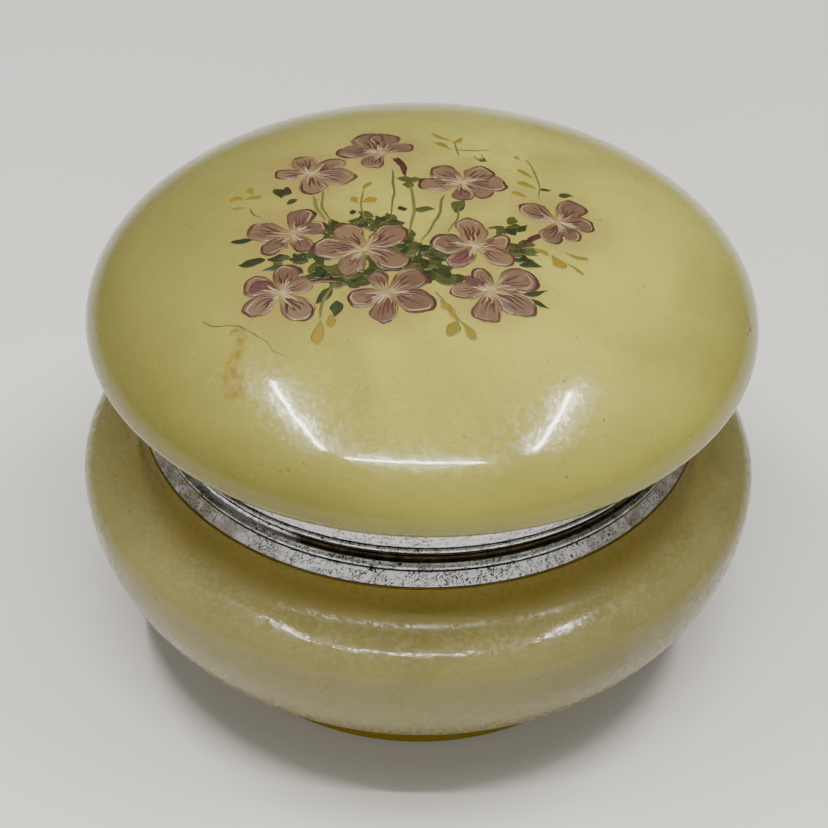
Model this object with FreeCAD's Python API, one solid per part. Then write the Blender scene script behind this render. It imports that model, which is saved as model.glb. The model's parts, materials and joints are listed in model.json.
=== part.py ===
"""Round alabaster trinket box with a domed lid, hinged at the back on two plated metal collars.

Millimetres, +Z up. The origin is the centre of the foot's resting face, the hinge is at +Y and
the front of the box faces -Y. The two collars meet at the parting plane, and a place near them
is given as a radius and a distance from that plane, upwards for the lid and downwards for the
base. Each sub-part is written to parts/NODE.step.
"""

import FreeCAD
import Part
import math
import os

from FreeCAD import Vector

# ---- driving dimensions -------------------------------------------------------------------

# Stone base: a turned bowl on a foot ring.
MOUTH_R = 40.0  # radius of the bowl's inside
BASE_H = 48.4  # resting face to parting plane
FLOOR_T = 9.0  # stone under the bowl's inside
BOWL_CORNER_R = 15.0  # round between the bowl's inside wall and its floor
BODY_OVERHANG = 10.3  # how far the body bulges past the collar ledge
BODY_WIDE_DZ = 15.8  # parting plane to the widest place
BODY_SINK = 1.4  # how far under the resting face the lower curve would reach the axis
BODY_BELLY_EXPONENT = 2.4  # 2 is an ellipse, and more is fuller
SHOULDER_ROUND_R = 9.4  # radial half-width of the rounded shoulder
NECK_COVE_RUN = 4.6  # the hollow between the collar ledge and the shoulder
NECK_COVE_DROP = 5.65

# Foot ring.
FOOT_R = 37.8
FOOT_H = 4.0
FOOT_QUIRK = 0.8  # depth and height of the cut between foot and body
FOOT_CHAMFER = 0.6
FOOT_RING_W = 8.0
FOOT_RECESS = 1.2

# Stone lid.
LID_OVERHANG = 8.4  # how far the lid bulges past the collar ledge
LID_WIDE_DZ = 14.8  # parting plane to the widest place
LID_CROWN_H = 18.6  # widest place to the top
LID_UNDER_H = 9.5  # depth of the lower curve, were it to reach the axis
LID_COVE_RUN = 3.4
LID_CROWN_T = 9.0  # stone over the lid's hollow

# Collars: one strip of sheet each, formed over the stone's rim and bedded in plaster.
SHEET_T = 0.5
NECK_WALL = 3.3  # from the bowl's inside to the outside of the stone's neck
PLASTER_T = 0.8  # between the neck and the collar
PLASTER_TOP_T = 0.85  # between the rim and the collar
GLUE_T = 0.35  # between the neck's inside and the collar
PARTING_GAP = 0.3
COVE_DEPTH = 0.75  # hollow between the two beads
COVE_H = 1.15
COVE_SAG = 0.25  # how much the hollow's side curves in
BEAD_H = 0.9
BEAD_PROUD = 0.4
GROOVE_W = 0.3
GROOVE_DEPTH = 0.2
SKIRT_STEP = 0.15
SKIRT_FLARE = 1.65
BASE_SKIRT_H = 1.7
LID_SKIRT_H = 3.8
INNER_WALL_H = 3.65  # how far each collar reaches down the neck's inside
LEDGE_GAP = 0.15  # under the edge of the skirt
LEDGE_W = 0.2  # stone showing past the edge of the skirt
REBATE_GAP = 0.15
STRIP_JOINT = 0.3  # where the two ends of a formed strip meet

# Locating lip: a second strip, soldered inside the base collar, that the lid closes over.
LIP_RISE = 2.4  # above the parting plane
LIP_CLEARANCE = 0.5

# Hinge: two soldered leaves with rolled knuckles, and a pin with two peened ends.
HINGE_W = 24.0
KNUCKLES = 5  # odd, so that the base has both outer ones
KNUCKLE_GAP = 0.2
BARREL_R = 1.5
BARREL_NEST = 0.25  # how far the barrel sits in past the beads
PIN_R = 0.75
PIN_CLEARANCE = 0.05
PIN_HEAD_R = 1.15
PIN_HEAD_H = 0.45
PIN_HEAD_ROUND_R = 0.36
LEAF_T = 0.6
LEAF_MARGIN = 0.8  # leaf past the barrel, at each end
LEAF_CORNER_R = 1.6
SOLDER_T = 0.03

# Drawing and printing.
CURVE_STEP = math.radians(6.5)  # between the points that a curve passes through
SAME = 1e-6  # lengths nearer to each other than this are equal
MM3_PER_CM3 = 1000

# ---- derived places -----------------------------------------------------------------------

BASE, LID = -1, 1

LIP_OUTER_R = MOUTH_R + SHEET_T
NECK_R = MOUTH_R + NECK_WALL
COLLAR_INNER_R = NECK_R + PLASTER_T
COLLAR_R = COLLAR_INNER_R + SHEET_T
COVE_R = COLLAR_R - COVE_DEPTH
BEAD_R = COLLAR_R + BEAD_PROUD
SKIRT_TOP_R = COLLAR_R + SKIRT_STEP
SKIRT_EDGE_R = SKIRT_TOP_R + SKIRT_FLARE
LEDGE_R = SKIRT_EDGE_R + LEDGE_W

FLANGE_DZ = PARTING_GAP / 2
RIM_DZ = FLANGE_DZ + SHEET_T + PLASTER_TOP_T
BEAD_DZ = FLANGE_DZ + COVE_H
GROOVE_DZ = BEAD_DZ + BEAD_H
SKIRT_DZ = GROOVE_DZ + GROOVE_W
WALL_END_DZ = FLANGE_DZ + INNER_WALL_H
REBATE_DZ = WALL_END_DZ + REBATE_GAP

SKIRT_H = {BASE: BASE_SKIRT_H, LID: LID_SKIRT_H}
WALL_R = {BASE: LIP_OUTER_R, LID: LIP_OUTER_R + LIP_CLEARANCE}

BODY_R = LEDGE_R + BODY_OVERHANG
BODY_WIDE_Z = BASE_H - BODY_WIDE_DZ
BODY_BELLY_H = BODY_WIDE_Z + BODY_SINK
LID_R = LEDGE_R + LID_OVERHANG
LID_WIDE_Z = BASE_H + LID_WIDE_DZ
LID_TOP_Z = LID_WIDE_Z + LID_CROWN_H

HINGE_Y = BEAD_R - BARREL_NEST + BARREL_R
BARREL_PITCH = HINGE_W / KNUCKLES
LEAF_DZ = BARREL_R + KNUCKLE_GAP


def skirt_edge_dz(side):
    """Distance of a skirt's free edge from the parting plane."""
    return SKIRT_DZ + SKIRT_H[side]


def skirt_inner_edge(side):
    """The inner corner of a skirt's free edge, one sheet thickness in from the outer one."""
    length = math.hypot(SKIRT_FLARE, SKIRT_H[side])
    inset_r = SHEET_T * SKIRT_H[side] / length
    inset_dz = SHEET_T * SKIRT_FLARE / length
    return SKIRT_EDGE_R - inset_r, skirt_edge_dz(side) + inset_dz


def ledge_dz(side):
    """Distance of the stone ledge that faces a skirt's edge."""
    return skirt_inner_edge(side)[1] + LEDGE_GAP


def rebate_r(side):
    """Radius of the step in the stone's mouth that takes the collar's inner wall."""
    return WALL_R[side] + SHEET_T + GLUE_T


# ---- drawing a section and turning it -----------------------------------------------------


def at(side, r, dz):
    """A point of a section, at a radius and a distance from the parting plane."""
    return Vector(r, 0, BASE_H + side * dz)


def line(a, b):
    return Part.LineSegment(a, b).toShape()


def polyline(points):
    return [line(a, b) for a, b in zip(points, points[1:])]


def arc(a, b, sag):
    """An arc whose middle stands off the chord by sag, to the left going from a to b."""
    chord = b - a
    off = Vector(-chord.z, 0, chord.x).normalize() * sag
    return Part.Arc(a, (a + b) / 2 + off, b).toShape()


def arc_ending_at_slope(a, b, slope):
    """An arc from a to b that leaves b at an angle to the horizontal, in radians."""
    chord = b - a
    turn = math.atan2(chord.z, chord.x) - slope
    return arc(a, b, chord.Length / 2 * math.tan(turn / 2))


def quarter_curve(centre_r, centre_z, half_w, half_h, first, last, exponent=2.0):
    """A stretch of an ellipse between two angles, or of a fuller curve if the exponent is over 2."""
    count = math.ceil(abs(last - first) / CURVE_STEP)
    angles = [first + (last - first) * k / count for k in range(count + 1)]
    points = [
        Vector(
            centre_r + half_w * math.cos(a) ** (2 / exponent),
            0,
            centre_z + half_h * math.sin(a),
        )
        for a in angles
    ]
    spline = Part.BSplineCurve()
    spline.interpolate(points)
    return spline.toShape()


def start_of(edge):
    return edge.valueAt(edge.FirstParameter)


def end_of(edge):
    return edge.valueAt(edge.LastParameter)


def turned(edges, degrees=360.0):
    """The solid that a closed section sweeps about the box's axis."""
    wire = Part.Wire(Part.__sortEdges__(edges))
    solid = Part.Face(wire).revolve(Vector(0, 0, 0), Vector(0, 0, 1), degrees)
    return solid if solid.Volume > 0 else solid.reversed()


def turned_polygon(points, degrees=360.0):
    return turned(polyline(points + points[:1]), degrees)


def strip_joint(ring):
    """Opens the narrow butt joint at the back of a ring that was formed from a strip."""
    reach = 2 * BODY_R
    knife = Part.makeBox(STRIP_JOINT, reach, reach, Vector(-STRIP_JOINT / 2, 0, 0))
    return ring.cut(knife)


# ---- stone --------------------------------------------------------------------------------


def rim_points(side):
    """The neck of either stone, from the ledge over the rim to the step in the mouth."""
    return [
        at(side, LEDGE_R, ledge_dz(side)),
        at(side, NECK_R, ledge_dz(side)),
        at(side, NECK_R, RIM_DZ),
        at(side, rebate_r(side), RIM_DZ),
        at(side, rebate_r(side), REBATE_DZ),
    ]


def base_bowl():
    """Turned bowl: foot ring, full belly, rounded shoulder, hollow neck and a plain inside."""
    belly_end_r = FOOT_R + FOOT_QUIRK
    cosine = (belly_end_r / BODY_R) ** (BODY_BELLY_EXPONENT / 2)
    belly = quarter_curve(
        0, BODY_WIDE_Z, BODY_R, BODY_BELLY_H, -math.acos(cosine), 0.0, BODY_BELLY_EXPONENT
    )

    ledge = at(BASE, LEDGE_R, ledge_dz(BASE))
    cove_end = ledge + Vector(NECK_COVE_RUN, 0, -NECK_COVE_DROP)
    shoulder_r = BODY_R - SHOULDER_ROUND_R
    cosine = (cove_end.x - shoulder_r) / SHOULDER_ROUND_R
    sine = math.sqrt(1 - cosine**2)
    shoulder_h = (cove_end.z - BODY_WIDE_Z) / sine
    shoulder = quarter_curve(
        shoulder_r, BODY_WIDE_Z, SHOULDER_ROUND_R, shoulder_h, 0.0, math.acos(cosine)
    )
    slope = math.atan2(-shoulder_h * cosine, SHOULDER_ROUND_R * sine)

    foot = [
        Vector(0, 0, FOOT_RECESS),
        Vector(FOOT_R - FOOT_RING_W, 0, FOOT_RECESS),
        Vector(FOOT_R - FOOT_RING_W + FOOT_RECESS, 0, 0),
        Vector(FOOT_R - FOOT_CHAMFER, 0, 0),
        Vector(FOOT_R, 0, FOOT_CHAMFER),
        Vector(FOOT_R, 0, FOOT_H),
        Vector(FOOT_R - FOOT_QUIRK, 0, FOOT_H + FOOT_QUIRK / 2),
        start_of(belly),
    ]
    inside_top = at(BASE, MOUTH_R, REBATE_DZ)
    corner_top = Vector(MOUTH_R, 0, FLOOR_T + BOWL_CORNER_R)
    corner_end = Vector(MOUTH_R - BOWL_CORNER_R, 0, FLOOR_T)
    corner_sag = BOWL_CORNER_R * (1 - math.sqrt(0.5))

    edges = polyline(foot)
    edges += [belly, shoulder]
    edges += [arc_ending_at_slope(ledge, cove_end, slope)]
    edges += polyline(rim_points(BASE) + [inside_top, corner_top])
    edges += [arc(corner_top, corner_end, corner_sag)]
    edges += polyline([corner_end, Vector(0, 0, FLOOR_T), foot[0]])
    return turned(edges)


def lid_dome():
    """Turned lid: low dome, bulging edge, hollow neck and a domed hollow."""
    crown = quarter_curve(0, LID_WIDE_Z, LID_R, LID_CROWN_H, 0.0, math.pi / 2)

    ledge = at(LID, LEDGE_R, ledge_dz(LID))
    cove_end_r = LEDGE_R + LID_COVE_RUN
    cosine = cove_end_r / LID_R
    sine = math.sqrt(1 - cosine**2)
    under = quarter_curve(0, LID_WIDE_Z, LID_R, LID_UNDER_H, -math.acos(cosine), 0.0)
    slope = math.atan2(LID_UNDER_H * cosine, LID_R * sine)

    hollow_r = WALL_R[LID]
    step = at(LID, hollow_r, REBATE_DZ)
    hollow_h = LID_TOP_Z - LID_CROWN_T - step.z
    hollow = quarter_curve(0, step.z, hollow_r, hollow_h, 0.0, math.pi / 2)

    edges = [crown, under]
    edges += [arc_ending_at_slope(ledge, start_of(under), slope)]
    edges += polyline(rim_points(LID) + [step])
    edges += [hollow, line(end_of(hollow), end_of(crown))]
    return turned(edges)


# ---- collars, their plaster and the locating lip ------------------------------------------


def collar(side):
    """Formed strip: inner wall, flange over the rim, cove, bead, groove and flared skirt."""
    wall_r = WALL_R[side]
    inner_edge_r, inner_edge_dz = skirt_inner_edge(side)
    inside = [
        at(side, inner_edge_r, inner_edge_dz),
        at(side, COLLAR_INNER_R, SKIRT_DZ),
        at(side, COLLAR_INNER_R, BEAD_DZ),
        at(side, COVE_R - SHEET_T, FLANGE_DZ + SHEET_T),
        at(side, wall_r + SHEET_T, FLANGE_DZ + SHEET_T),
        at(side, wall_r + SHEET_T, WALL_END_DZ),
        at(side, wall_r, WALL_END_DZ),
        at(side, wall_r, FLANGE_DZ),
        at(side, COVE_R, FLANGE_DZ),
    ]
    bead_start = at(side, COLLAR_R, BEAD_DZ)
    bead_end = at(side, COLLAR_R, GROOVE_DZ)
    outside = [
        bead_end,
        at(side, COLLAR_R - GROOVE_DEPTH, GROOVE_DZ + GROOVE_W / 2),
        at(side, SKIRT_TOP_R, SKIRT_DZ),
        at(side, SKIRT_EDGE_R, skirt_edge_dz(side)),
        inside[0],
    ]
    edges = polyline(inside)
    edges += [arc(inside[-1], bead_start, side * COVE_SAG)]
    edges += [arc(bead_start, bead_end, -side * BEAD_PROUD)]
    edges += polyline(outside)
    return strip_joint(turned(edges))


def plaster_bed(side):
    """Ring of plaster that holds a collar on its stone."""
    wall_r = WALL_R[side] + SHEET_T
    inner_edge_r, inner_edge_dz = skirt_inner_edge(side)
    bottom_dz = ledge_dz(side)
    return turned_polygon(
        [
            at(side, wall_r, FLANGE_DZ + SHEET_T),
            at(side, COVE_R - SHEET_T, FLANGE_DZ + SHEET_T),
            at(side, COLLAR_INNER_R, BEAD_DZ),
            at(side, COLLAR_INNER_R, SKIRT_DZ),
            at(side, inner_edge_r, inner_edge_dz),
            at(side, inner_edge_r, bottom_dz),
            at(side, NECK_R, bottom_dz),
            at(side, NECK_R, RIM_DZ),
            at(side, rebate_r(side), RIM_DZ),
            at(side, rebate_r(side), WALL_END_DZ),
            at(side, wall_r, WALL_END_DZ),
        ]
    )


def locating_lip():
    """Upright strip inside the base collar, with a rounded top edge for the lid to find."""
    edge = SHEET_T / 2
    foot = at(BASE, MOUTH_R, WALL_END_DZ)
    inner_top = at(LID, MOUTH_R, LIP_RISE - edge)
    outer_top = at(LID, LIP_OUTER_R, LIP_RISE - edge)
    edges = polyline([outer_top, at(BASE, LIP_OUTER_R, WALL_END_DZ), foot, inner_top])
    edges += [arc(inner_top, outer_top, edge)]
    return strip_joint(turned(edges))


# ---- hinge --------------------------------------------------------------------------------


def knuckle_spans(side):
    """The stretches along X of one leaf's knuckles. The base has the odd ones."""
    first = 0 if side == BASE else 1
    left = -HINGE_W / 2
    return [
        (left + k * BARREL_PITCH, left + (k + 1) * BARREL_PITCH)
        for k in range(first, KNUCKLES, 2)
    ]


def shortened(span):
    """A knuckle's span less half a gap at each end."""
    return span[0] + KNUCKLE_GAP / 2, span[1] - KNUCKLE_GAP / 2


def rod(radius, x0, x1):
    """A round bar along the hinge axis."""
    return Part.makeCylinder(
        radius, x1 - x0, Vector(x0, HINGE_Y, BASE_H), Vector(1, 0, 0)
    )


def collar_envelope(side):
    """The space that a collar and its solder take, which a leaf lies against."""
    edge_dz = ledge_dz(side)
    return turned_polygon(
        [
            at(side, MOUTH_R, 0),
            at(side, COLLAR_R + SOLDER_T, 0),
            at(side, COLLAR_R + SOLDER_T, BEAD_DZ),
            at(side, BEAD_R + SOLDER_T, BEAD_DZ),
            at(side, BEAD_R + SOLDER_T, GROOVE_DZ),
            at(side, SKIRT_EDGE_R + SOLDER_T, skirt_edge_dz(side)),
            at(side, SKIRT_EDGE_R + SOLDER_T, edge_dz),
            at(side, MOUTH_R, edge_dz),
        ]
    )


def leaf_plate(side):
    """The soldered plate: a stretch of cone along the skirt, cut to a rounded outline."""
    half_w = HINGE_W / 2 + LEAF_MARGIN
    edge_dz = skirt_edge_dz(side)
    shell = turned_polygon(
        [
            at(side, BEAD_R, LEAF_DZ),
            at(side, BEAD_R + LEAF_T, LEAF_DZ),
            at(side, BEAD_R + LEAF_T, GROOVE_DZ),
            at(side, SKIRT_EDGE_R + LEAF_T, edge_dz),
            at(side, SKIRT_EDGE_R, edge_dz),
            at(side, BEAD_R, GROOVE_DZ),
        ]
    )
    low_z = min(BASE_H + side * LEAF_DZ, BASE_H + side * edge_dz)
    outline = Part.makeBox(2 * half_w, BODY_R, edge_dz - LEAF_DZ, Vector(-half_w, 0, low_z))
    free_z = BASE_H + side * edge_dz
    corners = [
        e
        for e in outline.Edges
        if abs(e.Vertexes[0].Z - free_z) < SAME
        and abs(e.Vertexes[1].Z - free_z) < SAME
        and abs(e.Vertexes[0].Y - e.Vertexes[1].Y) > SAME
    ]
    return shell.common(outline.makeFillet(LEAF_CORNER_R, corners))


def hinge_leaf(side):
    """One leaf: plate, knuckles round the pin, and the web that joins them."""
    web_z = sorted([BASE_H + side * BARREL_R / 2, BASE_H + side * GROOVE_DZ])
    chord_y = math.sqrt(BEAD_R**2 - (HINGE_W / 2) ** 2)
    solid = leaf_plate(side)
    for span in knuckle_spans(side):
        x0, x1 = shortened(span)
        web = Part.makeBox(
            x1 - x0,
            HINGE_Y - chord_y,
            web_z[1] - web_z[0],
            Vector(x0, chord_y, web_z[0]),
        )
        solid = solid.fuse([web, rod(BARREL_R, x0, x1)])
    half_w = HINGE_W / 2
    solid = solid.cut(collar_envelope(side))
    return solid.cut(rod(PIN_R + PIN_CLEARANCE, -half_w, half_w)).removeSplitter()


def hinge_pin():
    """Wire pin through all the knuckles, with a domed peened head at each end."""
    end = HINGE_W / 2
    pin = rod(PIN_R, -end, end)
    for way in (-1, 1):
        x0 = way * (end - KNUCKLE_GAP / 2 + PIN_CLEARANCE)
        x1 = x0 + way * PIN_HEAD_H
        lo, hi = sorted((x0, x1))
        head = rod(PIN_HEAD_R, lo, hi)
        rim = [e for e in head.Edges if abs(e.CenterOfMass.x - x1) < SAME]
        pin = pin.fuse(head.makeFillet(PIN_HEAD_ROUND_R, rim))
    return pin.removeSplitter()


# ---- write --------------------------------------------------------------------------------


def main():
    os.makedirs("parts", exist_ok=True)
    nodes = {
        "base_bowl": base_bowl(),
        "base_plaster_bed": plaster_bed(BASE),
        "base_collar": collar(BASE),
        "base_locating_lip": locating_lip(),
        "base_hinge_leaf": hinge_leaf(BASE),
        "hinge_pin": hinge_pin(),
        "lid_dome": lid_dome(),
        "lid_plaster_bed": plaster_bed(LID),
        "lid_collar": collar(LID),
        "lid_hinge_leaf": hinge_leaf(LID),
    }
    for name, shape in nodes.items():
        shape.exportStep(f"parts/{name}.step")
        print(
            f"{name}: {len(shape.Solids)} solid, valid {shape.isValid()}, "
            f"{shape.Volume / MM3_PER_CM3:.3f} cm3"
        )
    print(f"body radius {BODY_R:.2f}, lid radius {LID_R:.2f}, height {LID_TOP_Z:.2f}")
    print(f"hinge axis at y {HINGE_Y:.2f}, z {BASE_H:.2f}")


main()
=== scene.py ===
# %% [markdown]
# # A painted alabaster trinket box
#
# The box has two turned stone halves, each with a formed metal collar, joined by a hinge at the
# back. All of that comes measured and finished from the design, as a frame of named nodes.
# This lesson gives those nodes their finishes, and adds what a design leaves out: the flowers
# painted on the lid, with their leaves and sprigs, and the crack in the stone beside them.

# %% The frame
import json
import math
import random

import bpy
from mathutils import Matrix, Vector


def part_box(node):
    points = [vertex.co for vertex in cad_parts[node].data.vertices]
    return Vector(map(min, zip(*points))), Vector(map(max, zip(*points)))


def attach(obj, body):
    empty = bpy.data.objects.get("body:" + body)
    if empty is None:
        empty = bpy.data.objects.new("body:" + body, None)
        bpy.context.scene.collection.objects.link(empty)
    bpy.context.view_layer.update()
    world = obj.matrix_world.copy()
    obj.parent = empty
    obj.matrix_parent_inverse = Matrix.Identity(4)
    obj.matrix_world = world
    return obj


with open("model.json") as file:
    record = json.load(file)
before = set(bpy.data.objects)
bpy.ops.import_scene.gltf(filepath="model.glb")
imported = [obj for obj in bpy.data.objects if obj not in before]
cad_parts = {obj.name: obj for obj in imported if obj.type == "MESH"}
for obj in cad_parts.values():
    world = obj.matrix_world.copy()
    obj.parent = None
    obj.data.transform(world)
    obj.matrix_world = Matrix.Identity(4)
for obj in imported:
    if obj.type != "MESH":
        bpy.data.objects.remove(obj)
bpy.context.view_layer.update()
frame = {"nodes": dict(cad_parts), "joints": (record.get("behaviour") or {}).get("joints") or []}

mm = 0.001
nodes = frame["nodes"]
bpy.ops.object.select_all(action="DESELECT")
print("nodes:", ", ".join(sorted(nodes)))

# %% [markdown]
# ## Writing finishes as sums
#
# A procedural finish is mostly arithmetic: a cloud times a tint, one minus a mask. Wired node by
# node that is slow to read, so a small class wraps an output socket, and the usual operators add
# the Math nodes. Every other node comes from one method of the finish it belongs to.

# %% A wire that can be added, multiplied and compared
class Wire:
    """An output socket that Python's operators work on, one Math node for each."""

    def __init__(self, finish, socket):
        self.finish = finish
        self.socket = socket

    def math(self, operation, *values):
        return self.finish.node("Math", {"operation": operation}, dict(enumerate(values)))

    def __add__(self, other):
        return self.math("ADD", self, other)

    def __sub__(self, other):
        return self.math("SUBTRACT", self, other)

    def __rsub__(self, other):
        return self.math("SUBTRACT", other, self)

    def __mul__(self, other):
        return self.math("MULTIPLY", self, other)

    def __pow__(self, other):
        return self.math("POWER", self, other)

    def __abs__(self):
        return self.math("ABSOLUTE", self)

    __radd__ = __add__
    __rmul__ = __mul__

    def lower(self, other):
        """The smaller of the two."""
        return self.math("MINIMUM", self, other)

    def higher(self, other):
        """The larger of the two."""
        return self.math("MAXIMUM", self, other)

    def between(self, low, high):
        """0 below low, 1 above high, and a smooth rise from one to the other."""
        limits = {"Value": self, "From Min": low, "From Max": high}
        settings = {"interpolation_type": "SMOOTHSTEP", "clamp": True}
        return self.finish.node("MapRange", settings, limits)


# %% A finish: one material, and its nodes
class Finish:
    """A Principled material. Its constants go straight on the shader's own sockets."""

    def __init__(self, name, **constants):
        self.material = bpy.data.materials.new(name)
        self.material.use_nodes = True
        self.tree = self.material.node_tree
        self.shader = self.tree.nodes["Principled BSDF"]
        for socket, value in constants.items():
            self.shader.inputs[socket.replace("_", " ")].default_value = value

    def node(self, kind, settings=None, inputs=None, output=0):
        """Adds a node, sets it up, then fills or links its inputs."""
        node = self.tree.nodes.new("ShaderNode" + kind)
        for name, value in (settings or {}).items():
            setattr(node, name, value)
        for name, value in (inputs or {}).items():
            socket = self.find(node.inputs, name)
            if isinstance(value, Wire):
                self.tree.links.new(value.socket, socket)
            else:
                socket.default_value = value
        return Wire(self, self.find(node.outputs, output))

    @staticmethod
    def find(sockets, name):
        """A socket by its number, its identifier or its name."""
        if isinstance(name, int):
            return sockets[name]
        by_identifier = [s for s in sockets if s.identifier == name]
        return by_identifier[0] if by_identifier else sockets[name]

    def place(self, scale=(1, 1, 1), turn=(0, 0, 0)):
        """Object coordinates, in metres, stretched and turned."""
        here = self.node("TexCoord", output="Object")
        return self.node("Mapping", {}, {"Vector": here, "Scale": scale, "Rotation": turn})

    def noise(self, size, where=None, detail=4.0, roughness=0.55, distortion=0.0):
        """Noise whose features are about size metres across."""
        inputs = {
            "Vector": where or self.node("TexCoord", output="Object"),
            "Scale": 1 / size,
            "Detail": detail,
            "Roughness": roughness,
            "Distortion": distortion,
        }
        return self.node("TexNoise", {}, inputs)

    def cells(self, size):
        """Distance to the nearest of many scattered points, as a share of size, their spacing."""
        inputs = {"Vector": self.node("TexCoord", output="Object"), "Scale": 1 / size}
        return self.node("TexVoronoi", {}, inputs, "Distance")

    def mix(self, factor, a, b):
        """Colour a where factor is 0 and colour b where it is 1."""
        a, b = ((*c, 1.0) if isinstance(c, tuple) else c for c in (a, b))
        inputs = {"Factor_Float": factor, "A_Color": a, "B_Color": b}
        return self.node("Mix", {"data_type": "RGBA"}, inputs, "Result_Color")

    def height(self, value, depth, below=None):
        """A bump of that depth in metres, on top of another one."""
        inputs = {"Height": value, "Distance": depth, "Strength": 1.0}
        if below:
            inputs["Normal"] = below
        return self.node("Bump", {}, inputs)

    def feed(self, **wires):
        """Links wires to the shader's sockets of those names."""
        for socket, wire in wires.items():
            target = self.shader.inputs[socket.replace("_", " ")]
            self.tree.links.new(wire.socket, target)

    def on(self, *pieces):
        """Puts the finish on pieces, in place of what they had."""
        for piece in pieces:
            piece.data.materials.clear()
            piece.data.materials.append(self.material)


print("finish helpers ready")

# %% [markdown]
# ## Camera, floor and light
#
# The box is seen from in front and above, from about arm's length, through a long lens. It
# stands on a plain pale floor. Two large soft lights do most of the work. Three thin
# strips overhead, set in a U, are there for their reflections: a polished dome is read by the
# bright lines that run across it.

# %% Camera
EYE_DISTANCE = 450 * mm
EYE_TILT = math.radians(39.4)
EYE_ROLL = math.radians(1.55)
AIM = Vector((0, 0, 40.8 * mm))

LENS = 115.5
SIDE_SHIFT = -0.007

camera_data = bpy.data.cameras.new("camera")
camera_data.lens = LENS
camera_data.shift_x = SIDE_SHIFT
camera = bpy.data.objects.new("camera", camera_data)
bpy.context.scene.collection.objects.link(camera)
bpy.context.scene.camera = camera
towards_eye = Vector((0, -math.cos(EYE_TILT), math.sin(EYE_TILT)))
camera.location = AIM + towards_eye * EYE_DISTANCE
level = towards_eye.to_track_quat("Z", "Y").to_matrix()
camera.matrix_world = Matrix.LocRotScale(
    camera.location, (level @ Matrix.Rotation(EYE_ROLL, 3, "Z")).to_quaternion(), None
)
print("camera at", [round(c / mm) for c in camera.location])

# %% Floor
FLOOR_SIZE = 6.0

bpy.ops.mesh.primitive_plane_add(size=FLOOR_SIZE)
floor = bpy.context.object
floor.name = "floor"
pale = Finish("pale_paper", Roughness=0.85, Specular_IOR_Level=0.2)
paper_grain = pale.noise(4 * mm, detail=6)
pale.feed(Base_Color=pale.mix(paper_grain * 0.25, (0.66, 0.65, 0.63), (0.60, 0.59, 0.57)))
pale.on(floor)
print("floor", FLOOR_SIZE, "m across")


# %% Lights
BOX_CENTRE = Vector((0, 0, 50 * mm))
WARM_WHITE = (1.0, 0.97, 0.92)
STRIP_WIDTH = 7 * mm
SKY = (0.78, 0.78, 0.80, 1)
SKY_STRENGTH = 0.17


def lamp(name, size, power, place, mirrored=False):
    """A rectangular light at a place, in metres, aimed at the box, seen in its gloss or not."""
    data = bpy.data.lights.new(name, "AREA")
    data.shape = "RECTANGLE"
    data.size, data.size_y = size
    data.energy = power
    data.color = WARM_WHITE
    light = bpy.data.objects.new(name, data)
    bpy.context.scene.collection.objects.link(light)
    light.location = place
    light.rotation_euler = (Vector(place) - BOX_CENTRE).to_track_quat("Z", "Y").to_euler()
    light.visible_glossy = mirrored
    return light


def strip(name, start, end, power):
    """A thin bright tube between two points."""
    start, end = Vector(start), Vector(end)
    middle = (start + end) / 2
    light = lamp(name, ((end - start).length, STRIP_WIDTH), power, middle, mirrored=True)
    along = (end - start).normalized()
    out = (middle - BOX_CENTRE).normalized()
    across = out.cross(along).normalized()
    light.rotation_euler = Matrix((along, across, out)).transposed().to_euler()
    return light


lamp("soft_box", (0.9, 0.7), 7.0, (0.1, -0.15, 1.1))
lamp("soft_front", (0.9, 0.5), 7.0, (-0.2, -1.15, 0.5))
strip("strip_left", (-0.245, 0.13, 0.6), (-0.205, -0.17, 0.6), 2.2)
strip("strip_front", (-0.16, -0.214, 0.6), (0.146, -0.213, 0.6), 2.0)
strip("strip_right", (0.25, 0.12, 0.6), (0.25, -0.146, 0.6), 2.0)

world = bpy.data.worlds.new("studio")
world.use_nodes = True
sky = world.node_tree.nodes["Background"]
sky.inputs["Color"].default_value = SKY
sky.inputs["Strength"].default_value = SKY_STRENGTH
bpy.context.scene.world = world

# %% [markdown]
# ## The stone
#
# Alabaster is soft, cloudy and a little see-through. Light goes in and comes out warmer, which
# is what subsurface scattering does. Colour comes from broad clouds, then thin wandering veins,
# then dark specks and dust. The lid and the bowl were cut from different pieces, so the same
# recipe is used twice with other tints. The lid keeps some wax polish, which is a thin coat over
# the stone. The bowl has none left, so its gloss is broken up by a fine frost.


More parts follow.
